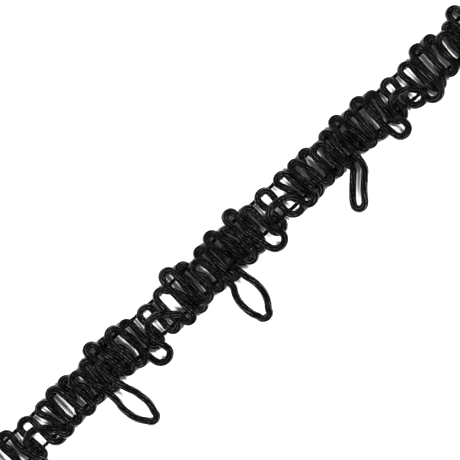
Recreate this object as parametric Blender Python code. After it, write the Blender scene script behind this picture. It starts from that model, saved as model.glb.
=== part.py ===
"""Button loop trim: a flat crochet trim of two gimp cords, with empty loops for buttons.

The trim lies on a table along X. The scalloped plain edge is at +Y and the button loops leave
the other edge, at -Y. From the table up come the two chain-stitched lines, then the back cord
in its scallops, then the front cord, whose loops come down to the table.
Sizes in the tables are millimetres. The trim is a cut length with plainly cut ends.
"""
import math
from collections import namedtuple

import bmesh
import bpy
from mathutils import Vector

MM = 0.001

# Gimp cord, pressed a little flat where it is stitched down
CORD_WIDTH = 2.0
CORD_HEIGHT = 1.6
CORD_SIDES = 6
LONGEST_STEP = 3.2
TURN_STEPS = 5
TIP_STEPS = 4
NARROWEST_MITRE = 0.7
SMOOTH_UNDER_DEG = 70

# Chain-stitched lines
CHAIN_WIDTH = 1.5
CHAIN_WAIST = 1.1
CHAIN_HEIGHT = 0.6
CHAIN_SHOULDER = 0.35
CHAIN_TOP_SHARE = 0.5
STITCH_LENGTH = 3.1
CHAIN_START = -92.6
CHAIN_END = 95.2

# Heights of the layers
GAP = 0.3
BACK_Z = CHAIN_HEIGHT + GAP + CORD_HEIGHT / 2
FRONT_Z = BACK_Z + CORD_HEIGHT + GAP
TABLE_Z = CORD_HEIGHT / 2

# Where the front cord's loops leave the band and where they lie on the table
SLOPE_START_Y = -12.9
SLOPE_END_Y = -19.8
BAND_MIDDLE_Y = -4.4

BLACK_THREAD = (0.020, 0.019, 0.021, 1.0)
BLACK_CHAIN = (0.016, 0.015, 0.016, 1.0)

# A turn is a scallop: the x of its two legs and the y of its outermost edge
Turn = namedtuple("Turn", "left right reach")
# A curl stays inside the band: its sides, its highest centre line and how far its shoulder sags
Curl = namedtuple("Curl", "left right crest sag")
# A run goes through this place on its way to the next turn
Via = namedtuple("Via", "x y")
# A section of a button loop: the middle between its legs and half the space from leg to leg
Section = namedtuple("Section", "x y half")
# The band isn't quite straight: the y of each line of stitches at x
ChainPlace = namedtuple("ChainPlace", "x upper lower")

CHAIN_LINES = [
    ChainPlace(-94.0, -0.6, -9.0),
    ChainPlace(-66.0, 0.1, -8.6),
    ChainPlace(-34.0, 0.5, -8.4),
    ChainPlace(13.0, 1.6, -6.9),
    ChainPlace(57.0, 0.8, -7.5),
    ChainPlace(96.0, 0.4, -8.2),
]

# Each button loop ends in a half circle round its last section
FIRST_BUTTON_LOOP = [
    Section(-52.9, -12.9, 2.3),
    Section(-52.6, -15.2, 2.9),
    Section(-52.3, -17.4, 3.0),
    Section(-51.9, -19.6, 2.9),
    Section(-51.5, -21.5, 2.3),
    Section(-51.2, -22.9, 1.6),
]
SECOND_BUTTON_LOOP = [
    Section(-7.4, -12.3, 2.4),
    Section(-7.6, -14.0, 3.1),
    Section(-7.8, -16.0, 3.5),
    Section(-7.9, -18.2, 3.5),
    Section(-8.1, -20.2, 3.1),
    Section(-8.3, -21.7, 2.5),
    Section(-8.4, -22.8, 1.8),
]
THIRD_BUTTON_LOOP = [
    Section(38.6, -11.2, 1.6),
    Section(37.0, -13.0, 1.6),
    Section(34.4, -15.6, 1.6),
    Section(32.0, -18.6, 1.6),
]
FOURTH_BUTTON_LOOP = [
    Section(85.7, -12.4, 2.3),
    Section(85.8, -14.2, 3.0),
    Section(85.9, -16.2, 3.4),
    Section(86.0, -18.4, 3.4),
    Section(85.9, -20.4, 3.0),
    Section(85.9, -21.8, 2.4),
    Section(85.8, -22.8, 1.7),
]

# The front cord from the left cut to the right one. A list of sections is a button loop.
FRONT_ROUTE = [
    Via(-92.0, -8.6),
    Via(-91.6, -4.0),
    Turn(-91.2, -87.8, 4.2),
    Turn(-86.2, -81.2, -14.8),
    Curl(-82.3, -73.1, -3.4, 1.1),
    Turn(-72.8, -69.2, -11.8),
    Turn(-68.5, -65.2, 2.5),
    Turn(-64.1, -60.8, -11.5),
    Turn(-61.0, -57.1, 1.3),
    Via(-56.9, -4.2),
    Via(-55.8, -8.2),
    FIRST_BUTTON_LOOP,
    Via(-51.3, -10.2),
    Via(-52.0, -7.0),
    Via(-51.6, -2.8),
    Turn(-52.4, -49.3, 4.5),
    Turn(-48.0, -45.2, -10.9),
    Turn(-45.1, -41.6, 3.6),
    Turn(-39.8, -34.6, -15.4),
    Curl(-35.8, -26.0, -2.9, 1.4),
    Turn(-26.1, -23.2, -12.0),
    Turn(-23.0, -19.3, 5.3),
    Turn(-19.6, -15.1, -10.9),
    Turn(-15.1, -11.5, 1.4),
    Via(-10.6, -5.6),
    Via(-9.8, -9.6),
    SECOND_BUTTON_LOOP,
    Via(-5.4, -10.4),
    Via(-6.1, -7.5),
    Via(-5.7, -5.0),
    Turn(-6.6, -3.5, 4.6),
    Via(-2.6, -3.2),
    Turn(-2.0, 1.1, -11.2),
    Via(0.6, -5.6),
    Via(1.5, -2.2),
    Turn(1.3, 4.5, 5.5),
    Via(3.9, -2.8),
    Via(4.3, -5.8),
    Turn(5.2, 10.6, -13.7),
    Curl(10.1, 20.3, -2.8, 0.4),
    Turn(20.3, 24.9, -10.6),
    Turn(24.4, 27.2, 3.4),
    Via(28.5, -4.2),
    Turn(28.7, 31.4, -9.8),
    Turn(31.8, 35.8, 2.4),
    Via(36.2, -5.6),
    Via(36.9, -8.6),
    THIRD_BUTTON_LOOP,
    Via(40.6, -7.0),
    Turn(41.2, 43.8, 4.6),
    Via(44.8, -5.0),
    Turn(44.7, 47.3, -10.1),
    Via(47.6, -5.6),
    Turn(48.7, 52.1, 4.3),
    Via(51.6, -2.8),
    Turn(52.4, 56.8, -14.3),
    Curl(56.4, 65.9, -3.1, 0.9),
    Turn(65.9, 70.6, -12.9),
    Turn(70.9, 74.3, 3.9),
    Turn(74.5, 77.8, -10.6),
    Turn(78.4, 82.3, 1.4),
    Via(83.1, -5.0),
    Via(83.4, -9.4),
    FOURTH_BUTTON_LOOP,
    Via(86.9, -10.2),
    Via(86.1, -6.0),
    Turn(85.7, 89.0, 4.8),
    Turn(90.2, 93.0, -10.9),
    Via(93.2, -5.0),
    Via(93.6, -1.0),
]

# The back cord from the left cut to the right one
BACK_ROUTE = [
    Via(-91.8, -2.0),
    Via(-91.4, -6.0),
    Turn(-90.9, -87.9, -11.5),
    Via(-86.5, -4.6),
    Turn(-87.1, -83.6, 2.5),
    Via(-83.9, -4.6),
    Turn(-82.8, -79.9, -12.0),
    Turn(-80.6, -76.4, 1.5),
    Turn(-76.3, -71.6, -11.8),
    Via(-72.2, -4.6),
    Turn(-73.6, -70.0, 1.5),
    Via(-69.8, -3.6),
    Via(-69.1, -6.2),
    Turn(-68.2, -65.6, -11.2),
    Via(-64.4, -6.2),
    Via(-63.2, -3.4),
    Turn(-63.8, -61.0, 2.4),
    Via(-60.4, -2.0),
    Via(-59.3, -4.4),
    Turn(-59.7, -57.0, -10.9),
    Via(-56.8, -6.2),
    Via(-56.7, -3.6),
    Turn(-56.3, -53.5, 2.0),
    Via(-54.2, -2.6),
    Turn(-54.3, -51.8, -11.5),
    Turn(-51.8, -49.4, -1.8),
    Turn(-49.4, -47.0, -10.1),
    Via(-47.0, -4.2),
    Via(-47.7, -1.4),
    Turn(-48.3, -45.7, 2.8),
    Via(-44.8, -1.4),
    Via(-43.9, -4.6),
    Turn(-44.2, -41.4, -11.5),
    Via(-40.4, -4.6),
    Turn(-40.9, -37.8, 2.5),
    Via(-37.8, -4.0),
    Turn(-37.9, -34.0, -10.9),
    Turn(-34.7, -30.6, 1.8),
    Turn(-30.9, -28.0, -10.9),
    Turn(-27.9, -24.4, 2.4),
    Via(-22.6, -1.8),
    Via(-21.7, -4.6),
    Turn(-21.3, -18.8, -11.8),
    Via(-17.8, -4.0),
    Turn(-18.1, -15.4, 3.6),
    Via(-15.0, -1.8),
    Via(-13.8, -4.6),
    Turn(-14.0, -11.2, -10.9),
    Via(-10.9, -3.0),
    Turn(-11.3, -8.6, 3.4),
    Via(-8.5, -3.0),
    Turn(-8.4, -6.0, -11.5),
    Turn(-6.0, -3.6, -1.3),
    Turn(-3.6, -1.2, -10.1),
    Via(-1.1, -3.8),
    Turn(-2.5, 0.3, 2.7),
    Via(1.2, -2.2),
    Via(2.2, -5.0),
    Turn(2.0, 4.8, -10.6),
    Via(6.1, -4.0),
    Turn(6.0, 8.7, 2.9),
    Via(8.7, -4.0),
    Turn(8.9, 12.9, -10.6),
    Turn(11.6, 15.6, 3.4),
    Turn(15.5, 20.9, -10.1),
    Via(20.1, -2.8),
    Turn(18.8, 22.5, 3.4),
    Via(22.8, -3.0),
    Turn(23.8, 27.4, -10.1),
    Via(27.2, -4.4),
    Turn(28.6, 31.4, 3.6),
    Via(32.1, -2.8),
    Turn(32.4, 34.9, -9.8),
    Via(34.7, -2.8),
    Turn(36.4, 39.1, 3.5),
    Via(38.1, -2.0),
    Turn(37.9, 40.4, -9.8),
    Turn(40.4, 42.8, -0.6),
    Turn(42.8, 45.3, -9.6),
    Via(45.3, -4.0),
    Turn(45.1, 47.8, 3.1),
    Via(48.5, -3.6),
    Turn(48.6, 51.1, -10.4),
    Via(52.2, -4.8),
    Turn(53.3, 55.9, 2.9),
    Via(55.1, -3.6),
    Turn(54.8, 58.9, -10.5),
    Turn(58.5, 62.2, 2.4),
    Turn(61.3, 66.4, -10.8),
    Via(65.7, -4.2),
    Turn(65.1, 68.8, 2.4),
    Via(68.7, -4.0),
    Turn(68.8, 72.7, -11.4),
    Via(74.4, -4.4),
    Turn(75.9, 78.5, 3.4),
    Via(77.8, -4.0),
    Turn(78.8, 81.3, -10.6),
    Via(81.5, -3.2),
    Turn(82.3, 84.8, 2.5),
    Via(84.0, -3.2),
    Turn(84.0, 86.4, -10.1),
    Turn(86.4, 88.8, -0.8),
    Turn(88.8, 91.2, -10.3),
    Via(91.2, -3.0),
    Turn(91.0, 93.6, 2.8),
    Via(93.8, -2.4),
    Via(93.6, -5.0),
]


def clear_scene():
    for item in list(bpy.data.objects):
        bpy.data.objects.remove(item, do_unlink=True)


def thread_material(name, colour, roughness):
    material = bpy.data.materials.new(name)
    material.use_nodes = True
    shader = material.node_tree.nodes["Principled BSDF"]
    shader.inputs["Base Color"].default_value = colour
    shader.inputs["Roughness"].default_value = roughness
    shader.inputs["Metallic"].default_value = 0.0
    return material


def ease(value):
    """0 to 1 with a soft start and a soft end."""
    value = min(max(value, 0.0), 1.0)
    return value * value * (3.0 - 2.0 * value)


def turn_points(turn):
    """A half circle from leg to leg, over the plain edge or round the looped one."""
    outward = 1.0 if turn.reach > BAND_MIDDLE_Y else -1.0
    middle = (turn.left + turn.right) / 2
    half = (turn.right - turn.left) / 2
    centre_y = turn.reach - outward * (CORD_WIDTH / 2 + half)
    points = []
    for step in range(TURN_STEPS):
        angle = math.pi * (step + 0.5) / TURN_STEPS
        points.append((middle - half * math.cos(angle), centre_y + outward * half * math.sin(angle)))
    return points


def curl_points(curl):
    """Up the left side, over a low crest and down a longer shoulder on the right."""
    # share of the width from the left, millimetres below the crest
    form = [
        (0.00, 5.0),
        (0.02, 2.6),
        (0.14, 0.7),
        (0.39, 0.0),
        (0.67, 0.9 * curl.sag),
        (0.88, 1.0 + 1.6 * curl.sag),
        (1.00, 4.5),
    ]
    width = curl.right - curl.left
    return [(curl.left + across * width, curl.crest - below) for across, below in form]


def button_loop_points(sections):
    """Down the left leg, round the tip and up the right leg."""
    left_leg = []
    right_leg = []
    for index, section in enumerate(sections):
        before = sections[max(index - 1, 0)]
        after = sections[min(index + 1, len(sections) - 1)]
        down = Vector((after.x - before.x, after.y - before.y)).normalized()
        across = Vector((-down.y, down.x)) * section.half
        middle = Vector((section.x, section.y))
        left_leg.append(middle - across)
        right_leg.append(middle + across)
    tip = []
    for step in range(1, TIP_STEPS):
        angle = math.pi * step / TIP_STEPS
        tip.append(middle - across * math.cos(angle) + down * (section.half * math.sin(angle)))
    return left_leg + tip + right_leg[::-1]


def route_points(route):
    points = []
    for place in route:
        if isinstance(place, Turn):
            points += turn_points(place)
        elif isinstance(place, Curl):
            points += curl_points(place)
        elif isinstance(place, Via):
            points.append((place.x, place.y))
        else:
            points += button_loop_points(place)
    return [Vector(point) for point in points]


def smooth_path(points, longest_step):
    """A smooth curve through the points, with no step longer than the one given."""
    ends = [points[0] * 2 - points[1]] + points + [points[-1] * 2 - points[-2]]
    path = [points[0]]
    for p0, p1, p2, p3 in zip(ends, ends[1:], ends[2:], ends[3:]):
        k0 = math.sqrt((p1 - p0).length)
        k1 = math.sqrt((p2 - p1).length)
        k2 = math.sqrt((p3 - p2).length)
        slope1 = (p2 - p1) / k1 - (p2 - p0) / (k0 + k1) + (p1 - p0) / k0
        slope2 = (p3 - p2) / k2 - (p3 - p1) / (k1 + k2) + (p2 - p1) / k1
        steps = max(1, math.ceil((p2 - p1).length / longest_step))
        for step in range(1, steps + 1):
            t = step / steps
            path.append(
                p1 * (2 * t**3 - 3 * t**2 + 1)
                + slope1 * (k1 * (t**3 - 2 * t**2 + t))
                + p2 * (3 * t**2 - 2 * t**3)
                + slope2 * (k1 * (t**3 - t**2))
            )
    return path


def front_height(y):
    """The front cord lies on the back cord, and its loops come down to the table."""
    down = ease((SLOPE_START_Y - y) / (SLOPE_START_Y - SLOPE_END_Y))
    return FRONT_Z + (TABLE_Z - FRONT_Z) * down


def chain_y(x, line):
    """Where the upper or the lower line of stitches runs, smooth between the given places."""
    for here, ahead in zip(CHAIN_LINES, CHAIN_LINES[1:]):
        if x <= ahead.x:
            share = ease((x - here.x) / (ahead.x - here.x))
            return getattr(here, line) * (1 - share) + getattr(ahead, line) * share
    return getattr(CHAIN_LINES[-1], line)


def cord_section():
    """A flat-sided ring with corners at its widest, and flats above and below."""
    flat = math.sin(math.radians(60))
    ring = []
    for corner in range(CORD_SIDES):
        angle = 2 * math.pi * corner / CORD_SIDES
        ring.append((CORD_WIDTH / 2 * math.cos(angle), CORD_HEIGHT / 2 * math.sin(angle) / flat))
    return ring


def chain_section(width):
    """Flat on the table, with sloping shoulders and a flat top, measured from the table."""
    half = width / 2
    top = half * CHAIN_TOP_SHARE
    return [
        (half, 0.0),
        (half, CHAIN_SHOULDER),
        (top, CHAIN_HEIGHT),
        (-top, CHAIN_HEIGHT),
        (-half, CHAIN_SHOULDER),
        (-half, 0.0),
    ]


def sweep(name, path, section_at, material):
    """One closed body: a section carried along the path, upright and mitred, with flat ends."""
    mesh_builder = bmesh.new()
    rings = []
    for index, point in enumerate(path):
        behind = (point - path[index - 1]).normalized() if index > 0 else None
        ahead = (path[index + 1] - point).normalized() if index < len(path) - 1 else behind
        behind = behind or ahead
        along = (behind + ahead).normalized()
        mitre = 1 / max(along.dot(ahead), NARROWEST_MITRE)
        side = Vector((along.y, -along.x, 0)).normalized()
        up = side.cross(along)
        ring = []
        for across, rise in section_at(index):
            corner = point + side * (across * mitre) + up * rise
            ring.append(mesh_builder.verts.new(corner * MM))
        rings.append(ring)
    count = len(rings[0])
    for ring, next_ring in zip(rings, rings[1:]):
        for corner in range(count):
            following = (corner + 1) % count
            mesh_builder.faces.new((ring[corner], ring[following], next_ring[following], next_ring[corner]))
    mesh_builder.faces.new(reversed(rings[0]))
    mesh_builder.faces.new(rings[-1])
    bmesh.ops.recalc_face_normals(mesh_builder, faces=mesh_builder.faces)
    mesh = bpy.data.meshes.new(name)
    mesh_builder.to_mesh(mesh)
    mesh_builder.free()
    mesh.materials.append(material)
    item = bpy.data.objects.new(name, mesh)
    bpy.context.scene.collection.objects.link(item)
    return item


def build_cord(name, route, height_at, material):
    flat_path = smooth_path(route_points(route), LONGEST_STEP)
    path = [Vector((point.x, point.y, height_at(point.y))) for point in flat_path]
    ring = cord_section()
    cord = sweep(name, path, lambda index: ring, material)
    cord.data.shade_smooth()
    cord.data.set_sharp_from_angle(angle=math.radians(SMOOTH_UNDER_DEG))
    return cord


def build_chain(name, line, material):
    """A line of stitches, each as wide as the thread's loop and waisted where the next begins."""
    stitches = round((CHAIN_END - CHAIN_START) / STITCH_LENGTH)
    path = []
    for half_stitch in range(2 * stitches + 1):
        x = CHAIN_START + (CHAIN_END - CHAIN_START) * half_stitch / (2 * stitches)
        path.append(Vector((x, chain_y(x, line), 0.0)))
    wide = chain_section(CHAIN_WIDTH)
    waist = chain_section(CHAIN_WAIST)
    return sweep(name, path, lambda index: wide if index % 2 else waist, material)


def centre_on_origin(items):
    """The origin is under the middle of the whole trim, on the table."""
    corners = [vertex.co for item in items for vertex in item.data.vertices]
    middle_x = (min(c.x for c in corners) + max(c.x for c in corners)) / 2
    middle_y = (min(c.y for c in corners) + max(c.y for c in corners)) / 2
    for item in items:
        for vertex in item.data.vertices:
            vertex.co.x -= middle_x
            vertex.co.y -= middle_y
        item.data.update()


def main():
    clear_scene()
    cord_thread = thread_material("black_gimp", BLACK_THREAD, 0.5)
    chain_thread = thread_material("black_chain_thread", BLACK_CHAIN, 0.6)
    centre_on_origin([
        build_cord("gimp_front", FRONT_ROUTE, front_height, cord_thread),
        build_cord("gimp_back", BACK_ROUTE, lambda y: BACK_Z, cord_thread),
        build_chain("edge_chain_upper", "upper", chain_thread),
        build_chain("edge_chain_lower", "lower", chain_thread),
    ])


main()
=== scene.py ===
# %% [markdown]
# A button loop trim
#
# The real object is a flat black trim for the edge of a coat or dress. Two gimp cords are laid to and
# fro across a narrow band, one over the other, and two lines of chain stitches hold them. Once in each
# repeat the front cord runs out past one edge as a long loop that a button goes through. The solids
# come first, because every piece made here stays where its solid is.

# %% Load the solids and keep their box
import math
from collections import namedtuple

import bpy
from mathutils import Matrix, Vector
from mathutils.kdtree import KDTree


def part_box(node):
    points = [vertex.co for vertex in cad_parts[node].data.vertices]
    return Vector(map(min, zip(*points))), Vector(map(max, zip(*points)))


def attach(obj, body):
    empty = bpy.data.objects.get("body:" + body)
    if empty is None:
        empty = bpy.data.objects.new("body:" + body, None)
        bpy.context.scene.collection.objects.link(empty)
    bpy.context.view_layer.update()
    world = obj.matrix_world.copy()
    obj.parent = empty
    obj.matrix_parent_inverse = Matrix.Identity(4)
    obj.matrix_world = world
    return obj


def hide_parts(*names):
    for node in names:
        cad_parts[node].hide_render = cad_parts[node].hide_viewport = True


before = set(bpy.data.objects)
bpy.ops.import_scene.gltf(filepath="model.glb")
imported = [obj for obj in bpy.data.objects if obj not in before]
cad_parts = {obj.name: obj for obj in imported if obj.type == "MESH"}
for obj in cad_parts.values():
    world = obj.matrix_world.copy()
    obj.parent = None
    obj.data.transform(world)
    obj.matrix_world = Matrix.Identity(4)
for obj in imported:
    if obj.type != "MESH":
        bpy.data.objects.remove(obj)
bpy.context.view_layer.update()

MM = 0.001

# %% [markdown]
# The routes of the two cords
#
# A hand-laid cord has no formula: each scallop is a little wider or longer than the last. What repeats
# is the kind of bend. So the route is a short list of named bends in the order in which a maker lays
# them: a turn at an edge, a curl that stays inside the band, a button loop, or one place that a
# straight run passes. Sizes are millimetres, x along the trim and y across it.

# %% The kinds of bend
CORD_WIDTH = 2.0

# A turn is a scallop: the x of its two legs and the y of its outermost edge
Turn = namedtuple("Turn", "left right reach")
# A curl stays inside the band: its sides, its highest centre line and how far its shoulder sags
Curl = namedtuple("Curl", "left right crest sag")
# A run goes through this place on its way to the next turn
Via = namedtuple("Via", "x y")
# A section of a button loop: the middle between its legs and half the space from leg to leg
Section = namedtuple("Section", "x y half")
# The band isn't quite straight: the y of each line of stitches at x
ChainPlace = namedtuple("ChainPlace", "x upper lower")
print("kinds of bend:", [kind.__name__ for kind in (Turn, Curl, Via, Section)])

# %% The two lines of stitches
CHAIN_LINES = [
    ChainPlace(-94.0, -0.6, -9.0),
    ChainPlace(-66.0, 0.1, -8.6),
    ChainPlace(-34.0, 0.5, -8.4),
    ChainPlace(13.0, 1.6, -6.9),
    ChainPlace(57.0, 0.8, -7.5),
    ChainPlace(96.0, 0.4, -8.2),
]
for place in (CHAIN_LINES[0], CHAIN_LINES[-1]):
    print("at x", place.x, "the lines of stitches are", round(place.upper - place.lower, 1), "mm apart")

# %% The four button loops
# Each button loop ends in a half circle round its last section
FIRST_BUTTON_LOOP = [
    Section(-52.9, -12.9, 2.3),
    Section(-52.6, -15.2, 2.9),
    Section(-52.3, -17.4, 3.0),
    Section(-51.9, -19.6, 2.9),
    Section(-51.5, -21.5, 2.3),
    Section(-51.2, -22.9, 1.6),
]
SECOND_BUTTON_LOOP = [
    Section(-7.4, -12.3, 2.4),
    Section(-7.6, -14.0, 3.1),
    Section(-7.8, -16.0, 3.5),
    Section(-7.9, -18.2, 3.5),
    Section(-8.1, -20.2, 3.1),
    Section(-8.3, -21.7, 2.5),
    Section(-8.4, -22.8, 1.8),
]
THIRD_BUTTON_LOOP = [
    Section(38.6, -11.2, 1.6),
    Section(37.0, -13.0, 1.6),
    Section(34.4, -15.6, 1.6),
    Section(32.0, -18.6, 1.6),
]
FOURTH_BUTTON_LOOP = [
    Section(85.7, -12.4, 2.3),
    Section(85.8, -14.2, 3.0),
    Section(85.9, -16.2, 3.4),
    Section(86.0, -18.4, 3.4),
    Section(85.9, -20.4, 3.0),
    Section(85.9, -21.8, 2.4),
    Section(85.8, -22.8, 1.7),
]
print("button loops:", len([FIRST_BUTTON_LOOP, SECOND_BUTTON_LOOP, THIRD_BUTTON_LOOP, FOURTH_BUTTON_LOOP]))

# %% The front cord's route
# The front cord from the left cut to the right one. A list of sections is a button loop.
FRONT_ROUTE = [
    Via(-92.0, -8.6),
    Via(-91.6, -4.0),
    Turn(-91.2, -87.8, 4.2),
    Turn(-86.2, -81.2, -14.8),
    Curl(-82.3, -73.1, -3.4, 1.1),
    Turn(-72.8, -69.2, -11.8),
    Turn(-68.5, -65.2, 2.5),
    Turn(-64.1, -60.8, -11.5),
    Turn(-61.0, -57.1, 1.3),
    Via(-56.9, -4.2),
    Via(-55.8, -8.2),
    FIRST_BUTTON_LOOP,
    Via(-51.3, -10.2),
    Via(-52.0, -7.0),
    Via(-51.6, -2.8),
    Turn(-52.4, -49.3, 4.5),
    Turn(-48.0, -45.2, -10.9),
    Turn(-45.1, -41.6, 3.6),
    Turn(-39.8, -34.6, -15.4),
    Curl(-35.8, -26.0, -2.9, 1.4),
    Turn(-26.1, -23.2, -12.0),
    Turn(-23.0, -19.3, 5.3),
    Turn(-19.6, -15.1, -10.9),
    Turn(-15.1, -11.5, 1.4),
    Via(-10.6, -5.6),
    Via(-9.8, -9.6),
    SECOND_BUTTON_LOOP,
    Via(-5.4, -10.4),
    Via(-6.1, -7.5),
    Via(-5.7, -5.0),
    Turn(-6.6, -3.5, 4.6),
    Via(-2.6, -3.2),
    Turn(-2.0, 1.1, -11.2),
    Via(0.6, -5.6),
    Via(1.5, -2.2),
    Turn(1.3, 4.5, 5.5),
    Via(3.9, -2.8),
    Via(4.3, -5.8),
    Turn(5.2, 10.6, -13.7),
    Curl(10.1, 20.3, -2.8, 0.4),
    Turn(20.3, 24.9, -10.6),
    Turn(24.4, 27.2, 3.4),
    Via(28.5, -4.2),
    Turn(28.7, 31.4, -9.8),
    Turn(31.8, 35.8, 2.4),
    Via(36.2, -5.6),
    Via(36.9, -8.6),
    THIRD_BUTTON_LOOP,
    Via(40.6, -7.0),
    Turn(41.2, 43.8, 4.6),
    Via(44.8, -5.0),
    Turn(44.7, 47.3, -10.1),
    Via(47.6, -5.6),
    Turn(48.7, 52.1, 4.3),
    Via(51.6, -2.8),
    Turn(52.4, 56.8, -14.3),
    Curl(56.4, 65.9, -3.1, 0.9),
    Turn(65.9, 70.6, -12.9),
    Turn(70.9, 74.3, 3.9),
    Turn(74.5, 77.8, -10.6),
    Turn(78.4, 82.3, 1.4),
    Via(83.1, -5.0),
    Via(83.4, -9.4),
    FOURTH_BUTTON_LOOP,
    Via(86.9, -10.2),
    Via(86.1, -6.0),
    Turn(85.7, 89.0, 4.8),
    Turn(90.2, 93.0, -10.9),
    Via(93.2, -5.0),
    Via(93.6, -1.0),
]
print("bends and places on the front cord:", len(FRONT_ROUTE))

# %% The back cord's route
# The back cord from the left cut to the right one
BACK_ROUTE = [
    Via(-91.8, -2.0),
    Via(-91.4, -6.0),
    Turn(-90.9, -87.9, -11.5),
    Via(-86.5, -4.6),
    Turn(-87.1, -83.6, 2.5),
    Via(-83.9, -4.6),
    Turn(-82.8, -79.9, -12.0),
    Turn(-80.6, -76.4, 1.5),
    Turn(-76.3, -71.6, -11.8),
    Via(-72.2, -4.6),
    Turn(-73.6, -70.0, 1.5),
    Via(-69.8, -3.6),
    Via(-69.1, -6.2),
    Turn(-68.2, -65.6, -11.2),
    Via(-64.4, -6.2),
    Via(-63.2, -3.4),
    Turn(-63.8, -61.0, 2.4),
    Via(-60.4, -2.0),
    Via(-59.3, -4.4),
    Turn(-59.7, -57.0, -10.9),
    Via(-56.8, -6.2),
    Via(-56.7, -3.6),
    Turn(-56.3, -53.5, 2.0),
    Via(-54.2, -2.6),
    Turn(-54.3, -51.8, -11.5),
    Turn(-51.8, -49.4, -1.8),
    Turn(-49.4, -47.0, -10.1),
    Via(-47.0, -4.2),
    Via(-47.7, -1.4),
    Turn(-48.3, -45.7, 2.8),
    Via(-44.8, -1.4),
    Via(-43.9, -4.6),
    Turn(-44.2, -41.4, -11.5),
    Via(-40.4, -4.6),
    Turn(-40.9, -37.8, 2.5),
    Via(-37.8, -4.0),
    Turn(-37.9, -34.0, -10.9),
    Turn(-34.7, -30.6, 1.8),
    Turn(-30.9, -28.0, -10.9),
    Turn(-27.9, -24.4, 2.4),
    Via(-22.6, -1.8),
    Via(-21.7, -4.6),
    Turn(-21.3, -18.8, -11.8),
    Via(-17.8, -4.0),
    Turn(-18.1, -15.4, 3.6),
    Via(-15.0, -1.8),
    Via(-13.8, -4.6),
    Turn(-14.0, -11.2, -10.9),
    Via(-10.9, -3.0),
    Turn(-11.3, -8.6, 3.4),
    Via(-8.5, -3.0),
    Turn(-8.4, -6.0, -11.5),
    Turn(-6.0, -3.6, -1.3),
    Turn(-3.6, -1.2, -10.1),
    Via(-1.1, -3.8),
    Turn(-2.5, 0.3, 2.7),
    Via(1.2, -2.2),
    Via(2.2, -5.0),
    Turn(2.0, 4.8, -10.6),
    Via(6.1, -4.0),
    Turn(6.0, 8.7, 2.9),
    Via(8.7, -4.0),
    Turn(8.9, 12.9, -10.6),
    Turn(11.6, 15.6, 3.4),
    Turn(15.5, 20.9, -10.1),
    Via(20.1, -2.8),
    Turn(18.8, 22.5, 3.4),
    Via(22.8, -3.0),
    Turn(23.8, 27.4, -10.1),
    Via(27.2, -4.4),
    Turn(28.6, 31.4, 3.6),
    Via(32.1, -2.8),
    Turn(32.4, 34.9, -9.8),
    Via(34.7, -2.8),
    Turn(36.4, 39.1, 3.5),
    Via(38.1, -2.0),
    Turn(37.9, 40.4, -9.8),
    Turn(40.4, 42.8, -0.6),
    Turn(42.8, 45.3, -9.6),
    Via(45.3, -4.0),
    Turn(45.1, 47.8, 3.1),
    Via(48.5, -3.6),
    Turn(48.6, 51.1, -10.4),
    Via(52.2, -4.8),
    Turn(53.3, 55.9, 2.9),
    Via(55.1, -3.6),
    Turn(54.8, 58.9, -10.5),
    Turn(58.5, 62.2, 2.4),
    Turn(61.3, 66.4, -10.8),
    Via(65.7, -4.2),
    Turn(65.1, 68.8, 2.4),
    Via(68.7, -4.0),
    Turn(68.8, 72.7, -11.4),
    Via(74.4, -4.4),
    Turn(75.9, 78.5, 3.4),
    Via(77.8, -4.0),
    Turn(78.8, 81.3, -10.6),
    Via(81.5, -3.2),
    Turn(82.3, 84.8, 2.5),
    Via(84.0, -3.2),
    Turn(84.0, 86.4, -10.1),
    Turn(86.4, 88.8, -0.8),
    Turn(88.8, 91.2, -10.3),
    Via(91.2, -3.0),
    Turn(91.0, 93.6, 2.8),
    Via(93.8, -2.4),
    Via(93.6, -5.0),
]
print("bends and places on the back cord:", len(BACK_ROUTE))

# %% [markdown]
# From bends to a smooth line
#
# Each bend is turned into a few points, and a smooth curve is drawn through all of them. A curve whose
# pace follows the square root of the distance between points doesn't swing out or fold where a short
# step meets a long one, which matters where a tight turn follows a long straight leg.

# %% Points on a turn and on a curl
BAND_MIDDLE_Y = -4.4
TURN_STEPS = 5


def turn_points(turn):
    """A half circle from leg to leg, over the plain edge or round the looped one."""
    outward = 1.0 if turn.reach > BAND_MIDDLE_Y else -1.0
    middle = (turn.left + turn.right) / 2
    half = (turn.right - turn.left) / 2
    centre_y = turn.reach - outward * (CORD_WIDTH / 2 + half)
    points = []
    for step in range(TURN_STEPS):
        angle = math.pi * (step + 0.5) / TURN_STEPS
        points.append((middle - half * math.cos(angle), centre_y + outward * half * math.sin(angle)))
    return points


def curl_points(curl):
    """Up the left side, over a low crest and down a longer shoulder on the right."""
    # share of the width from the left, millimetres below the crest
    form = [
        (0.00, 5.0),
        (0.02, 2.6),
        (0.14, 0.7),
        (0.39, 0.0),
        (0.67, 0.9 * curl.sag),
        (0.88, 1.0 + 1.6 * curl.sag),
        (1.00, 4.5),
    ]
    width = curl.right - curl.left
    return [(curl.left + across * width, curl.crest - below) for across, below in form]


print("a turn has", len(turn_points(FRONT_ROUTE[2])), "points and a curl", len(curl_points(FRONT_ROUTE[4])))

# %% Points on a button loop
TIP_STEPS = 4


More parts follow.
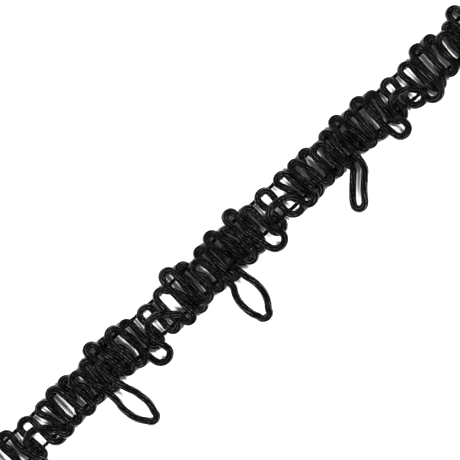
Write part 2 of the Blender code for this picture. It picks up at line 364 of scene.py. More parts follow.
def button_loop_points(sections):
    """Down the left leg, round the tip and up the right leg."""
    left_leg = []
    right_leg = []
    for index, section in enumerate(sections):
        before = sections[max(index - 1, 0)]
        after = sections[min(index + 1, len(sections) - 1)]
        down = Vector((after.x - before.x, after.y - before.y)).normalized()
        across = Vector((-down.y, down.x)) * section.half
        middle = Vector((section.x, section.y))
        left_leg.append(middle - across)
        right_leg.append(middle + across)
    tip = []
    for step in range(1, TIP_STEPS):
        angle = math.pi * step / TIP_STEPS
        tip.append(middle - across * math.cos(angle) + down * (section.half * math.sin(angle)))
    return left_leg + tip + right_leg[::-1]


print("the second button loop has", len(button_loop_points(SECOND_BUTTON_LOOP)), "points")

# %% One smooth line through every point
FINE_STEP = 0.42


def route_points(route):
    points = []
    for place in route:
        if isinstance(place, Turn):
            points += turn_points(place)
        elif isinstance(place, Curl):
            points += curl_points(place)
        elif isinstance(place, Via):
            points.append((place.x, place.y))
        else:
            points += button_loop_points(place)
    return [Vector(point) for point in points]


def smooth_path(points, longest_step):
    """A smooth curve through the points, with no step longer than the one given."""
    ends = [points[0] * 2 - points[1]] + points + [points[-1] * 2 - points[-2]]
    path = [points[0]]
    for p0, p1, p2, p3 in zip(ends, ends[1:], ends[2:], ends[3:]):
        k0 = math.sqrt((p1 - p0).length)
        k1 = math.sqrt((p2 - p1).length)
        k2 = math.sqrt((p3 - p2).length)
        slope1 = (p2 - p1) / k1 - (p2 - p0) / (k0 + k1) + (p1 - p0) / k0
        slope2 = (p3 - p2) / k2 - (p3 - p1) / (k1 + k2) + (p2 - p1) / k1
        steps = max(1, math.ceil((p2 - p1).length / longest_step))
        for step in range(1, steps + 1):
            t = step / steps
            path.append(
                p1 * (2 * t**3 - 3 * t**2 + 1)
                + slope1 * (k1 * (t**3 - 2 * t**2 + t))
                + p2 * (3 * t**2 - 2 * t**3)
                + slope2 * (k1 * (t**3 - t**2))
            )
    return path


def length_of(path):
    return sum((ahead - here).length for here, ahead in zip(path, path[1:]))


front_plan = smooth_path(route_points(FRONT_ROUTE), FINE_STEP)
back_plan = smooth_path(route_points(BACK_ROUTE), FINE_STEP)
print("front cord in plan:", round(length_of(front_plan)), "mm in", len(front_plan), "points")
print("back cord in plan:", round(length_of(back_plan)), "mm in", len(back_plan), "points")

# %% [markdown]
# The layers
#
# Seen from the side, the trim is three layers: the stitches on the table, the back cord over them and
# the front cord on top. The solids keep a small gap between the layers. Here the cords are as round as
# that gap allows, so that they touch where they cross, as real ones do. Between two crossings the
# front cord sinks a little, and its button loops come down to the table.

# %% Heights of the layers
# The middle of each cord in its layer, at the same heights as in the solids
CORD_HEIGHT = 1.9
BACK_Z = 1.7
FRONT_Z = 3.6
# A button loop comes down between these two places, to lie on the table
TABLE_Z = CORD_HEIGHT / 2
SLOPE_START_Y = -12.9
SLOPE_END_Y = -19.8
# How far the front cord sinks off the back one, over which distance, and the share where it stays up
SINK = 0.7
CROSSING_REACH = 2.4
STAYS_UP = 0.25
# Points on either side that a height is averaged over
SMOOTHING = 7


def ease(value):
    """0 to 1 with a soft start and a soft end."""
    value = min(max(value, 0.0), 1.0)
    return value * value * (3.0 - 2.0 * value)


def smoothed(values, reach):
    """Each value becomes the mean of its neighbours within reach on either side."""
    near = [values[max(i - reach, 0):i + reach + 1] for i in range(len(values))]
    return [sum(group) / len(group) for group in near]


back_places = KDTree(len(back_plan))
for index, point in enumerate(back_plan):
    back_places.insert((point.x, point.y, 0.0), index)
back_places.balance()

front_heights = []
for point in front_plan:
    away = back_places.find((point.x, point.y, 0.0))[2]
    carried = FRONT_Z - SINK * ease(away / CROSSING_REACH - STAYS_UP)
    down = ease((SLOPE_START_Y - point.y) / (SLOPE_START_Y - SLOPE_END_Y))
    front_heights.append(carried + (TABLE_Z - carried) * down)
front_heights = smoothed(front_heights, SMOOTHING)

front_path = [Vector((p.x, p.y, z)) for p, z in zip(front_plan, front_heights)]
back_path = [Vector((p.x, p.y, BACK_Z)) for p in back_plan]
print("the front cord's middle is", round(min(front_heights), 2), "to", round(max(front_heights), 2), "mm up")

# %% The lines of stitches in the same plan


def chain_y(x, line):
    """Where the upper or the lower line of stitches runs, smooth between the given places."""
    for here, ahead in zip(CHAIN_LINES, CHAIN_LINES[1:]):
        if x <= ahead.x:
            share = ease((x - here.x) / (ahead.x - here.x))
            return getattr(here, line) * (1 - share) + getattr(ahead, line) * share
    return getattr(CHAIN_LINES[-1], line)


def crossings(path, line):
    """Where a cord crosses a line of stitches, and the direction in which it does."""
    found = []
    for here, ahead in zip(path, path[1:]):
        side_here = here.y - chain_y(here.x, line)
        side_ahead = ahead.y - chain_y(ahead.x, line)
        if side_here * side_ahead < 0:
            share = side_here / (side_here - side_ahead)
            found.append((here.lerp(ahead, share), math.atan2(ahead.y - here.y, ahead.x - here.x)))
    return found


for cord_name, path in (("front", front_path), ("back", back_path)):
    for line in ("upper", "lower"):
        print("the", cord_name, "cord crosses the", line, "line", len(crossings(path, line)), "times")

# %% From the plan to the solids' own place


def middle_of(path):
    """The middle of the space that a cord takes in plan."""
    xs = [point.x for point in path]
    ys = [point.y for point in path]
    return Vector(((min(xs) + max(xs)) / 2, (min(ys) + max(ys)) / 2, 0.0))


front_low, front_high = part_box("gimp_front")
front_middle = (front_low + front_high) / 2 / MM
shift = Vector((front_middle.x, front_middle.y, 0.0)) - middle_of(front_path)
print("the plan moves by", [round(value, 2) for value in shift], "mm to lie on the solids")

# %% [markdown]
# Helpers for node trees
#
# Both cords are the same section carried along a path, and both the chain and the ties are one link of
# thread repeated along a line. Geometry Nodes suit all of them, because the tree holds the rule and its
# named inputs hold the sizes. These helpers start a tree, add a node, connect it, and turn the result
# into a plain mesh.

# %% Start a tree and connect nodes


def start_tree(name, sizes):
    """A tree with geometry in and out, a material input and a named input for each size."""
    tree = bpy.data.node_groups.new(name, "GeometryNodeTree")
    tree.interface.new_socket("Geometry", in_out="OUTPUT", socket_type="NodeSocketGeometry")
    tree.interface.new_socket("Geometry", in_out="INPUT", socket_type="NodeSocketGeometry")
    tree.interface.new_socket("Material", in_out="INPUT", socket_type="NodeSocketMaterial")
    for label, value in sizes.items():
        kind = "NodeSocketInt" if isinstance(value, int) else "NodeSocketFloat"
        tree.interface.new_socket(label, in_out="INPUT", socket_type=kind).default_value = value
    return tree, tree.nodes.new("NodeGroupInput").outputs


def feed(tree, socket, value):
    if isinstance(value, bpy.types.NodeSocket):
        tree.links.new(value, socket)
    else:
        socket.default_value = value


def node(tree, kind, *values, **settings):
    """Adds a node, with its settings, and feeds its inputs in order. None leaves an input alone."""
    made = tree.nodes.new(kind)
    for name, value in settings.items():
        setattr(made, name, value)
    for socket, value in zip([socket for socket in made.inputs if socket.enabled], values):
        if value is not None:
            feed(tree, socket, value)
    return made


def maths(tree, operation, *values):
    return node(tree, "ShaderNodeMath", *values, operation=operation).outputs[0]


def input_names(tree):
    return [item.name for item in tree.interface.items_tree if item.in_out == "INPUT"]


print("node helpers:", [helper.__name__ for helper in (start_tree, feed, node, maths, input_names)])

# %% Finish a tree and take the mesh out of it


def finish_tree(tree, geometry, material):
    """Every tree ends in real geometry, smooth, with its material set."""
    real = node(tree, "GeometryNodeRealizeInstances", geometry).outputs[0]
    smooth = node(tree, "GeometryNodeSetShadeSmooth", real).outputs[0]
    painted = node(tree, "GeometryNodeSetMaterial", smooth, None, material).outputs[0]
    node(tree, "NodeGroupOutput", painted)


def mesh_from_tree(name, guide, tree, values):
    """Runs the tree on a guide mesh, and returns a plain object with no modifier on it."""
    carrier = bpy.data.objects.new(name + "_guide", guide)
    bpy.context.scene.collection.objects.link(carrier)
    modifier = carrier.modifiers.new("tree", "NODES")
    modifier.node_group = tree
    for item in tree.interface.items_tree:
        if item.in_out == "INPUT" and item.name in values:
            modifier[item.identifier] = values[item.name]
    carrier.update_tag()
    evaluated = carrier.evaluated_get(bpy.context.evaluated_depsgraph_get())
    mesh = bpy.data.meshes.new_from_object(evaluated)
    bpy.data.objects.remove(carrier)
    mesh.name = name
    piece = bpy.data.objects.new(name, mesh)
    bpy.context.scene.collection.objects.link(piece)
    triangles = sum(len(face.vertices) - 2 for face in mesh.polygons)
    print(name, "has", triangles, "triangles")
    return piece


def guide_line(name, path):
    """A mesh of one open line, in metres and in the solids' place."""
    guide = bpy.data.meshes.new(name)
    corners = [(point + shift) * MM for point in path]
    guide.from_pydata(corners, [(i, i + 1) for i in range(len(corners) - 1)], [])
    return guide


print("mesh helpers:", [helper.__name__ for helper in (finish_tree, mesh_from_tree, guide_line)])

# %% [markdown]
# The gimp cord
#
# Gimp is a soft core with silky strands wound round it in a long, slow twist, so fine ridges run along
# the cord and drift slowly round it. A round tube with a bump would look smooth from the side. Here the
# tube's own surface is ridged: the tree carries a circle along the path, and then moves each point in or
# out by a rule of its place round the cord and along it. The real cord is 2.0 mm wide over crests and
# grooves together, so its crests are a little wider. It is flatter than it is wide, and it narrows
# slightly where a stitch pulls it tight.

# %% The tree that lays a cord
# How much wider the crests stand than the cord's real width, as the grooves take about as much away
CREST_ROOM = 0.14

cord_sizes = {
    "Cord Width": (CORD_WIDTH + CREST_ROOM) * MM,
    "Cord Height": CORD_HEIGHT * MM,
    "Sides": 48,
    "Strands": 8.0,
    "Strand Depth": 0.11,
    "Twist Length": 46.0 * MM,
}


def cord_tree():
    """Input: an open line with the attribute pinch, the share of the width taken away there."""
    tree, sizes = start_tree("lay_gimp_cord", cord_sizes)
    route = node(tree, "GeometryNodeMeshToCurve", sizes["Geometry"]).outputs[0]
    upright = node(tree, "GeometryNodeSetCurveNormal", route)
    upright.mode = "Z_UP"

    line = node(tree, "GeometryNodeCaptureAttribute", upright.outputs[0])
    line.capture_items.new("VECTOR", "Centre")
    line.capture_items.new("FLOAT", "Along")
    feed(tree, line.inputs["Centre"], node(tree, "GeometryNodeInputPosition").outputs[0])
    feed(tree, line.inputs["Along"], node(tree, "GeometryNodeSplineParameter").outputs["Length"])

    circle = node(tree, "GeometryNodeCurvePrimitiveCircle", sizes["Sides"])
    feed(tree, circle.inputs["Radius"], maths(tree, "MULTIPLY", sizes["Cord Width"], 0.5))
    ring = node(tree, "GeometryNodeCaptureAttribute", circle.outputs[0])
    ring.capture_items.new("FLOAT", "Around")
    feed(tree, ring.inputs["Around"], node(tree, "GeometryNodeSplineParameter").outputs["Factor"])

    tube = node(tree, "GeometryNodeCurveToMesh")
    feed(tree, tube.inputs["Curve"], line.outputs["Geometry"])
    feed(tree, tube.inputs["Profile Curve"], ring.outputs["Geometry"])
    feed(tree, tube.inputs["Fill Caps"], True)

    turns = maths(tree, "DIVIDE", line.outputs["Along"], sizes["Twist Length"])
    angle = maths(tree, "MULTIPLY", maths(tree, "ADD", ring.outputs["Around"], turns), 2 * math.pi)
    half_strands = maths(tree, "MULTIPLY", sizes["Strands"], 0.5)
    lobe = maths(tree, "ABSOLUTE", maths(tree, "COSINE", maths(tree, "MULTIPLY", angle, half_strands)))
    groove = maths(tree, "MULTIPLY", maths(tree, "SUBTRACT", 1.0, lobe), sizes["Strand Depth"])
    pinch = node(tree, "GeometryNodeInputNamedAttribute", "pinch", data_type="FLOAT").outputs[0]
    fullness = maths(tree, "SUBTRACT", maths(tree, "SUBTRACT", 1.0, groove), pinch)

    here = node(tree, "GeometryNodeInputPosition").outputs[0]
    out = node(tree, "ShaderNodeVectorMath", here, line.outputs["Centre"], operation="SUBTRACT").outputs[0]
    flat = maths(tree, "DIVIDE", sizes["Cord Height"], sizes["Cord Width"])
    flatten = node(tree, "ShaderNodeCombineXYZ", 1.0, 1.0, flat).outputs[0]
    out = node(tree, "ShaderNodeVectorMath", out, flatten, operation="MULTIPLY").outputs[0]
    scaled = node(tree, "ShaderNodeVectorMath", out, operation="SCALE")
    feed(tree, scaled.inputs["Scale"], fullness)
    place = node(tree, "ShaderNodeVectorMath", line.outputs["Centre"], scaled.outputs[0], operation="ADD")
    shaped = node(tree, "GeometryNodeSetPosition", tube.outputs[0], None, place.outputs[0]).outputs[0]

    along_mm = maths(tree, "MULTIPLY", line.outputs["Along"], 1 / MM)
    unrolled = node(
        tree, "ShaderNodeCombineXYZ", maths(tree, "COSINE", angle), maths(tree, "SINE", angle), along_mm
    ).outputs[0]
    marked = node(
        tree, "GeometryNodeStoreNamedAttribute", shaped, None, "cord_place", unrolled,
        data_type="FLOAT_VECTOR", domain="POINT",
    ).outputs[0]
    finish_tree(tree, marked, sizes["Material"])
    return tree


lay_gimp_cord = cord_tree()
print("cord tree inputs:", input_names(lay_gimp_cord))

# %% [markdown]
# Thread surface
#
# The cord's strands and the sewing thread are the same kind of stuff at two sizes: bundles of fine
# filaments. One node group draws both. It doesn't use the place in the room, because a pattern that
# does would slide along a curved cord. It uses a place in the straightened cord, which the trees store
# on each point: round the cord in x and y, and the length along it in z. The group also paints a thin,
# broken highlight line in colour along the crest of each strand, where the silk's shine would fall.

# %% The shared node group for filaments
# How fast the streaks change along the cord, in changes a millimetre
STREAK_RATE = 1.2
# Size of the patches in which the roughness and the painted highlight's strength change, as a noise scale
PATCH_SCALE = 0.22
# A higher power makes the painted highlight line on a crest narrower
HIGHLIGHT_LINE_POWER = 20.0
# Shares of the height that come from streaks and from the dashes of twist
STREAK_SHARE = 0.6
DASH_SHARE = 0.4

# The noise between low and high becomes a strength between faint and full
Fade = namedtuple("Fade", "low high faint full")
# Both fades set the strength of the painted highlight lines: broken along the cord, and in patches
BROKEN_LINE = Fade(0.5, 0.58, 0.08, 1.0)
HIGHLIGHT_PATCH = Fade(0.44, 0.6, 0.25, 1.0)


def filament_group():
    """A painted highlight line on each strand's crest, patch noise, and the height of fine streaks and
    slanting dashes of twist.
    """
    group = bpy.data.node_groups.new("thread_filaments", "ShaderNodeTree")
    for label, kind, value in (
        ("Place", "NodeSocketVector", None),
        ("Filaments", "NodeSocketFloat", 26.0),
        ("Strands", "NodeSocketFloat", 8.0),
        ("Dash Length", "NodeSocketFloat", 0.5),
    ):
        socket = group.interface.new_socket(label, in_out="INPUT", socket_type=kind)
        if value is not None:
            socket.default_value = value
    for label in ("Crests", "Wear", "Height"):
        group.interface.new_socket(label, in_out="OUTPUT", socket_type="NodeSocketFloat")
    given = group.nodes.new("NodeGroupInput").outputs

    fine = node(group, "ShaderNodeCombineXYZ", given["Filaments"], given["Filaments"], STREAK_RATE).outputs[0]
    stretched = node(group, "ShaderNodeVectorMath", given["Place"], fine, operation="MULTIPLY").outputs[0]
    streaks = node(group, "ShaderNodeTexNoise", stretched)
    feed(group, streaks.inputs["Scale"], 1.0)
    feed(group, streaks.inputs["Detail"], 3.0)

    apart = node(group, "ShaderNodeSeparateXYZ", given["Place"]).outputs
    angle = maths(group, "ARCTAN2", apart[1], apart[0])
    along = maths(group, "DIVIDE", apart[2], given["Dash Length"])
    slant = maths(group, "MULTIPLY", angle, given["Strands"])
    phase = maths(group, "ADD", maths(group, "MULTIPLY", along, 2 * math.pi), slant)
    dash = maths(group, "ADD", maths(group, "MULTIPLY", maths(group, "SINE", phase), 0.5), 0.5)

    patches = node(group, "ShaderNodeTexNoise", given["Place"])
    feed(group, patches.inputs["Scale"], PATCH_SCALE)
    feed(group, patches.inputs["Detail"], 2.0)

    # Painted highlight: a narrow light line along each strand's crest, where the silk's shine would be
    lobe = maths(group, "ABSOLUTE", maths(group, "COSINE", maths(group, "MULTIPLY", slant, 0.5)))
    crest = maths(group, "POWER", lobe, HIGHLIGHT_LINE_POWER)
    broken = node(group, "ShaderNodeMapRange", streaks.outputs[0], *BROKEN_LINE).outputs[0]
    highlight_patch = node(group, "ShaderNodeMapRange", patches.outputs[0], *HIGHLIGHT_PATCH).outputs[0]
    painted_highlights = maths(group, "MULTIPLY", crest, maths(group, "MULTIPLY", broken, highlight_patch))

    streak_height = maths(group, "MULTIPLY", streaks.outputs[0], STREAK_SHARE)
    dash_height = maths(group, "MULTIPLY", dash, DASH_SHARE)
    height = maths(group, "ADD", streak_height, dash_height)
    result = group.nodes.new("NodeGroupOutput").inputs
    feed(group, result["Crests"], painted_highlights)
    feed(group, result["Wear"], patches.outputs[0])
    feed(group, result["Height"], height)
    return group


filaments = filament_group()
print("filament group:", [item.name for item in filaments.interface.items_tree])

# %% A thread material from the group
THREAD_IOR = 1.33
BUMP_STRENGTH = 0.6
# How far the roughness goes up and down from patch to patch
ROUGHNESS_SWING = 0.08


def thread_material(name, dark, light, roughness, bump_mm, values):
    """Near-black thread with painted highlight lines in the light colour along its crests, a roughness in
    patches, and raised filaments.
    """
    material = bpy.data.materials.new(name)
    material.use_nodes = True
    tree = material.node_tree
    shader = tree.nodes["Principled BSDF"]
    place = node(tree, "ShaderNodeAttribute", attribute_name="cord_place").outputs["Vector"]
    pattern = tree.nodes.new("ShaderNodeGroup")
    pattern.node_tree = filaments
    feed(tree, pattern.inputs["Place"], place)
    for label, value in values.items():
        feed(tree, pattern.inputs[label], value)

    # Painted highlight: the light colour is mixed in where the group's painted highlight lines run
    colour = node(tree, "ShaderNodeMix", data_type="RGBA")
    feed(tree, colour.inputs["Factor"], pattern.outputs["Crests"])
    feed(tree, colour.inputs[6], dark)
    feed(tree, colour.inputs[7], light)
    feed(tree, shader.inputs["Base Color"], colour.outputs[2])

    in_patches = Fade(0.3, 0.7, roughness - ROUGHNESS_SWING, roughness + ROUGHNESS_SWING)
    rougher = node(tree, "ShaderNodeMapRange", pattern.outputs["Wear"], *in_patches).outputs[0]
    feed(tree, shader.inputs["Roughness"], rougher)

    bump = node(tree, "ShaderNodeBump")
    feed(tree, bump.inputs["Strength"], BUMP_STRENGTH)
    feed(tree, bump.inputs["Distance"], bump_mm * MM)
    feed(tree, bump.inputs["Height"], pattern.outputs["Height"])
    feed(tree, shader.inputs["Normal"], bump.outputs[0])
    shader.inputs["IOR"].default_value = THREAD_IOR
    return material


# The gimp's light colour is painted highlight, drawn as lines along the strands' crests
black_gimp = thread_material(
    "black_gimp_silk",
    dark=(0.0006, 0.00055, 0.0006, 1.0),
    light=(0.085, 0.078, 0.085, 1.0),
    roughness=0.2,
    bump_mm=0.012,
    values={"Filaments": 4.0, "Strands": cord_sizes["Strands"], "Dash Length": 0.55},
)
# The chain thread's light colour is a faint painted highlight along its crests
black_chain_thread = thread_material(
    "black_sewing_thread",
    dark=(0.0005, 0.00045, 0.0005, 1.0),
    light=(0.002, 0.0018, 0.0021, 1.0),
    roughness=0.55,
    bump_mm=0.03,
    values={"Filaments": 9.0, "Strands": 3.0, "Dash Length": 0.7},
)
print("materials:", black_gimp.name, black_chain_thread.name)

# %% Lay the two cords
# The share of the width that a stitch takes away, and how far from the stitch that fades
PINCH = 0.07
PINCH_REACH = 0.45
SHARP_OVER_DEG = 70


def pinch_at(point):
    """How much a stitch narrows the cord here: most on a line of stitches, nothing a little way off."""
    away = min(abs(point.y - chain_y(point.x, line)) for line in ("upper", "lower"))
    return PINCH * math.exp(-((away / PINCH_REACH) ** 2))


def lay_cord(name, path, cad_node):
    guide = guide_line(name + "_route", path)
    pinch = guide.attributes.new("pinch", "FLOAT", "POINT")
    pinch.data.foreach_set("value", [pinch_at(point) for point in path])
    values = {**cord_sizes, "Material": black_gimp}
    cord = mesh_from_tree(name, guide, lay_gimp_cord, values)
    cord.data.set_sharp_from_angle(angle=math.radians(SHARP_OVER_DEG))
    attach(cord, "root")
    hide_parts(cad_node)


lay_cord("gimp_front_cord", front_path, "gimp_front")
lay_cord("gimp_back_cord", back_path, "gimp_back")

# %% [markdown]
# The chain stitches
#
# Under the cords, each line is a chain of loops, one through the next, as a crochet machine makes it.
# The thread is drawn tight, so the two sides of a link lie nearly together. The link starts narrow
# inside the one before it, widens a little, and closes over the start of the next. One link is bent
# from a circle by formula, and is then set out along the line. A small seeded change in width keeps
# the row from looking printed.

# %% The tree that works a chain
chain_sizes = {
    "Stitch Length": 2.2 * MM,
    "Loop Length": 3.5 * MM,
    "Loop Width": 0.66 * MM,
    "Thread Width": 0.56 * MM,
    "Rise": 0.04 * MM,
    "Seed": 7,
}
LINK_POINTS = 14
THREAD_SIDES = 6


def thread_along(tree, curve, width):
    """A round thread along a small closed curve, marked with its place for the material."""
    line = node(tree, "GeometryNodeCaptureAttribute", curve)
    line.capture_items.new("FLOAT", "Along")
    feed(tree, line.inputs["Along"], node(tree, "GeometryNodeSplineParameter").outputs["Length"])
    circle = node(tree, "GeometryNodeCurvePrimitiveCircle", THREAD_SIDES)
    feed(tree, circle.inputs["Radius"], maths(tree, "MULTIPLY", width, 0.5))
    ring = node(tree, "GeometryNodeCaptureAttribute", circle.outputs[0])
    ring.capture_items.new("FLOAT", "Around")
    feed(tree, ring.inputs["Around"], node(tree, "GeometryNodeSplineParameter").outputs["Factor"])
    tube = node(tree, "GeometryNodeCurveToMesh")
    feed(tree, tube.inputs["Curve"], line.outputs["Geometry"])
    feed(tree, tube.inputs["Profile Curve"], ring.outputs["Geometry"])
    angle = maths(tree, "MULTIPLY", ring.outputs["Around"], 2 * math.pi)
    along_mm = maths(tree, "MULTIPLY", line.outputs["Along"], 1 / MM)
    unrolled = node(
        tree, "ShaderNodeCombineXYZ", maths(tree, "COSINE", angle), maths(tree, "SINE", angle), along_mm
    ).outputs[0]
    return node(
        tree, "GeometryNodeStoreNamedAttribute", tube.outputs[0], None, "cord_place", unrolled,
        data_type="FLOAT_VECTOR", domain="POINT",
    ).outputs[0]


def bent_circle(tree, points, bend):
    """A closed curve whose points are put where bend says for their angle round a circle."""
    circle = node(tree, "GeometryNodeCurvePrimitiveCircle", points).outputs[0]
    factor = node(tree, "GeometryNodeSplineParameter").outputs["Factor"]
    angle = maths(tree, "MULTIPLY", factor, 2 * math.pi)
    place = node(tree, "ShaderNodeCombineXYZ", *bend(angle)).outputs[0]
    return node(tree, "GeometryNodeSetPosition", circle, None, place).outputs[0]


def chain_tree():
    tree, sizes = start_tree("work_chain_stitches", chain_sizes)

    def link_bend(angle):
        """Half as wide and low at its start, where back is 0, and wide and high at its end, where it is 1."""
        back = maths(tree, "SUBTRACT", 0.5, maths(tree, "MULTIPLY", maths(tree, "COSINE", angle), 0.5))
        length = maths(tree, "MULTIPLY", maths(tree, "SUBTRACT", back, 0.5), sizes["Loop Length"])
        open_share = maths(tree, "ADD", 0.5, maths(tree, "MULTIPLY", back, 0.5))
        half_width = maths(tree, "MULTIPLY", maths(tree, "MULTIPLY", sizes["Loop Width"], 0.5), open_share)
        wide = maths(tree, "MULTIPLY", maths(tree, "SINE", angle), half_width)
        lift = maths(tree, "MULTIPLY", back, sizes["Rise"])
        return length, wide, maths(tree, "ADD", lift, maths(tree, "MULTIPLY", sizes["Thread Width"], 0.5))

    link = thread_along(tree, bent_circle(tree, LINK_POINTS, link_bend), sizes["Thread Width"])
    line = node(tree, "GeometryNodeMeshToCurve", sizes["Geometry"]).outputs[0]
    stations = node(tree, "GeometryNodeCurveToPoints", line, mode="LENGTH")
    feed(tree, stations.inputs["Length"], sizes["Stitch Length"])
    turned = node(tree, "FunctionNodeAlignRotationToVector", axis="X", pivot_axis="Z")
    feed(tree, turned.inputs["Vector"], stations.outputs["Tangent"])
    chance = node(tree, "FunctionNodeRandomValue", data_type="FLOAT")
    for label, value in (("Min", 0.9), ("Max", 1.1), ("Seed", sizes["Seed"])):
        feed(tree, next(s for s in chance.inputs if s.enabled and s.name == label), value)
    drawn = next(s for s in chance.outputs if s.enabled)
    size = node(tree, "ShaderNodeCombineXYZ", 1.0, drawn, 1.0).outputs[0]
    row = node(tree, "GeometryNodeInstanceOnPoints")
    feed(tree, row.inputs["Points"], stations.outputs["Points"])
    feed(tree, row.inputs["Instance"], link)
    feed(tree, row.inputs["Rotation"], turned.outputs[0])
    feed(tree, row.inputs["Scale"], size)
    finish_tree(tree, row.outputs[0], sizes["Material"])
    return tree


work_chain_stitches = chain_tree()
print("chain tree inputs:", input_names(work_chain_stitches))

# %% Work the two lines
CHAIN_START = -90.9
CHAIN_END = 93.5
CHAIN_STEP = 1.0


def work_chain(name, line, cad_node):
    steps = round((CHAIN_END - CHAIN_START) / CHAIN_STEP)
    xs = [CHAIN_START + (CHAIN_END - CHAIN_START) * step / steps for step in range(steps + 1)]
    guide = guide_line(name + "_line", [Vector((x, chain_y(x, line), 0.0)) for x in xs])
    chain = mesh_from_tree(name, guide, work_chain_stitches, {**chain_sizes, "Material": black_chain_thread})
    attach(chain, "root")
    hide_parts(cad_node)


work_chain("upper_chain_stitches", "upper", "edge_chain_upper")
work_chain("lower_chain_stitches", "lower", "edge_chain_lower")

# %% [markdown]
# The ties
#
# At every crossing, the chain's thread comes up, goes round the cord and back down, and that is what
# holds the cord in place. Each tie is one small closed loop of fine thread. It is pulled so tight that
# it sinks between the cord's strands on top, and below it is drawn in to the chain. Only the depth
# differs between the two cords, so one tree makes both, with the depth as an input.

# %% The tree that ties a cord down
tie_sizes = {
    "Half Width": 0.98 * MM,
    "Half Height": 0.91 * MM,
    "Depth": 1.4 * MM,
    "Thread Width": 0.2 * MM,
}
TIE_POINTS = 12


def tie_tree():
    """Input: a point in the cord's middle at each crossing, with the attribute turn, the cord's direction."""
    tree, sizes = start_tree("tie_cord_down", tie_sizes)

    def tie_bend(angle):
        up = maths(tree, "SINE", angle)
        over = maths(tree, "GREATER_THAN", up, 0.0)
        spare = maths(tree, "SUBTRACT", sizes["Half Height"], sizes["Depth"])
        reach = maths(tree, "ADD", sizes["Depth"], maths(tree, "MULTIPLY", over, spare))
        wide = maths(tree, "MULTIPLY", maths(tree, "COSINE", angle), sizes["Half Width"])
        return 0.0, wide, maths(tree, "MULTIPLY", up, reach)

    loop = thread_along(tree, bent_circle(tree, TIE_POINTS, tie_bend), sizes["Thread Width"])
    turn = node(tree, "GeometryNodeInputNamedAttribute", "turn", data_type="FLOAT").outputs[0]
    euler = node(tree, "ShaderNodeCombineXYZ", 0.0, 0.0, turn).outputs[0]
    row = node(tree, "GeometryNodeInstanceOnPoints")
    feed(tree, row.inputs["Points"], node(tree, "GeometryNodeMeshToPoints", sizes["Geometry"]).outputs[0])
    feed(tree, row.inputs["Instance"], loop)
    feed(tree, row.inputs["Rotation"], node(tree, "FunctionNodeEulerToRotation", euler).outputs[0])
    finish_tree(tree, row.outputs[0], sizes["Material"])
    return tree


tie_cord_down = tie_tree()
print("tie tree inputs:", input_names(tie_cord_down))

# %% Tie both cords along both lines
# The height of a tie's lowest point, in the middle of its thread
TIE_FOOT_Z = 0.3


def tie_down(name, path):
    """Ties that all reach as deep as the cord's lowest crossing allows."""
    places = crossings(path, "upper") + crossings(path, "lower")
    depth = min(place.z for place, turn in places) - TIE_FOOT_Z
    guide = bpy.data.meshes.new(name + "_places")
    guide.from_pydata([(place + shift) * MM for place, turn in places], [], [])
    turns = guide.attributes.new("turn", "FLOAT", "POINT")
    turns.data.foreach_set("value", [turn for place, turn in places])
    values = {**tie_sizes, "Depth": depth * MM, "Material": black_chain_thread}
    ties = mesh_from_tree(name, guide, tie_cord_down, values)
    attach(ties, "root")


tie_down("front_cord_ties", front_path)
tie_down("back_cord_ties", back_path)

# %% [markdown]
# The table, the light and the camera
#
# A black thing on white is hard to light. The white has to stay white in every gap, while the black
# must keep no grey veil. So two soft lamps hang high beyond the two ends and light the table and the
# thread without showing in the silk's shine. Two small weak lamps near the camera give the silk its
# only glints from light; the brighter lines along its crests are painted highlight in its colour. The
# camera looks straight down through a long lens, which keeps both edges parallel.

# %% The pale table
TABLE_SIZE = 3.0

table_mesh = bpy.data.meshes.new("table")
half = TABLE_SIZE / 2
table_corners = [(-half, -half, 0), (half, -half, 0), (half, half, 0), (-half, half, 0)]
table_mesh.from_pydata(table_corners, [], [(0, 1, 2, 3)])
table = bpy.data.objects.new("table", table_mesh)
bpy.context.scene.collection.objects.link(table)
table_white = bpy.data.materials.new("table_white")
table_white.use_nodes = True
table_shader = table_white.node_tree.nodes["Principled BSDF"]
table_shader.inputs["Base Color"].default_value = (0.9, 0.9, 0.9, 1.0)
table_shader.inputs["Roughness"].default_value = 0.9
table_mesh.materials.append(table_white)
print("table:", TABLE_SIZE, "m square")

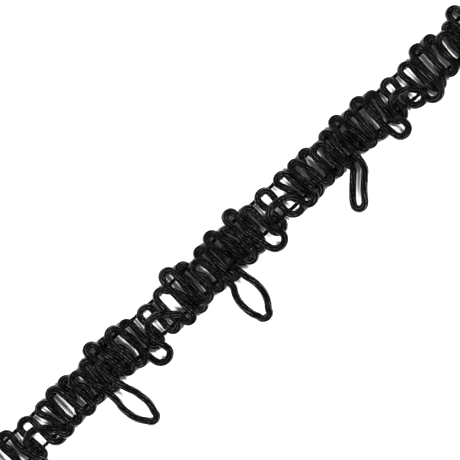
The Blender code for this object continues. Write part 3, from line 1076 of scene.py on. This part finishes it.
# %% Soft studio light
# Place and size in metres, power in watts, and whether the lamp shows in the silk's shine
Lamp = namedtuple("Lamp", "name place size power shines")
LAMPS = [
    Lamp("left_lamp", (-0.45, 0.04, 0.90), 0.26, 19.0, False),
    Lamp("right_lamp", (0.45, -0.04, 0.90), 0.26, 19.0, False),
    Lamp("top_lamp", (0.06, 0.02, 1.0), 0.12, 0.25, True),
    Lamp("far_lamp", (-0.10, 0.26, 0.96), 0.12, 0.25, True),
]
# The room lights the trim faintly, but the camera sees it white
ROOM_LIGHT = 0.06
ROOM_WHITE = 1.0


def hang(lamp):
    """A square lamp that faces the middle of the table."""
    light = bpy.data.lights.new(lamp.name, "AREA")
    light.shape = "SQUARE"
    light.size = lamp.size
    light.energy = lamp.power
    made = bpy.data.objects.new(lamp.name, light)
    made.location = lamp.place
    made.rotation_mode = "QUATERNION"
    made.rotation_quaternion = Vector(lamp.place).to_track_quat("Z", "Y")
    made.visible_glossy = lamp.shines
    bpy.context.scene.collection.objects.link(made)


for lamp in LAMPS:
    hang(lamp)

world = bpy.data.worlds.new("pale_room")
world.use_nodes = True
world_tree = world.node_tree
seen = world_tree.nodes.new("ShaderNodeLightPath").outputs["Is Camera Ray"]
strength = maths(world_tree, "ADD", maths(world_tree, "MULTIPLY", seen, ROOM_WHITE - ROOM_LIGHT), ROOM_LIGHT)
world_tree.nodes["Background"].inputs["Color"].default_value = (1.0, 1.0, 1.0, 1.0)
feed(world_tree, world_tree.nodes["Background"].inputs["Strength"], strength)
bpy.context.scene.world = world
bpy.context.scene.view_settings.view_transform = "Standard"

# %% The camera, straight above
# Millimetres, and the slope of the trim across the picture in degrees
PICTURE_WIDTH = 128.8
CAMERA_HEIGHT = 1200.0
SENSOR = 36.0
TRIM_ANGLE = 42.7
AIM_PLAN = Vector((0.38, 0.41, 0.0))

camera_data = bpy.data.cameras.new("above")
camera_data.type = "PERSP"
camera_data.sensor_width = SENSOR
camera_data.lens = SENSOR * CAMERA_HEIGHT / PICTURE_WIDTH
camera_data.clip_start = 0.05
camera_data.clip_end = 20.0
camera = bpy.data.objects.new("above", camera_data)
camera.location = (AIM_PLAN + shift + Vector((0.0, 0.0, CAMERA_HEIGHT))) * MM
camera.rotation_euler = (0.0, 0.0, -math.radians(TRIM_ANGLE))
bpy.context.scene.collection.objects.link(camera)
bpy.context.scene.camera = camera
print("lens:", round(camera_data.lens), "mm")
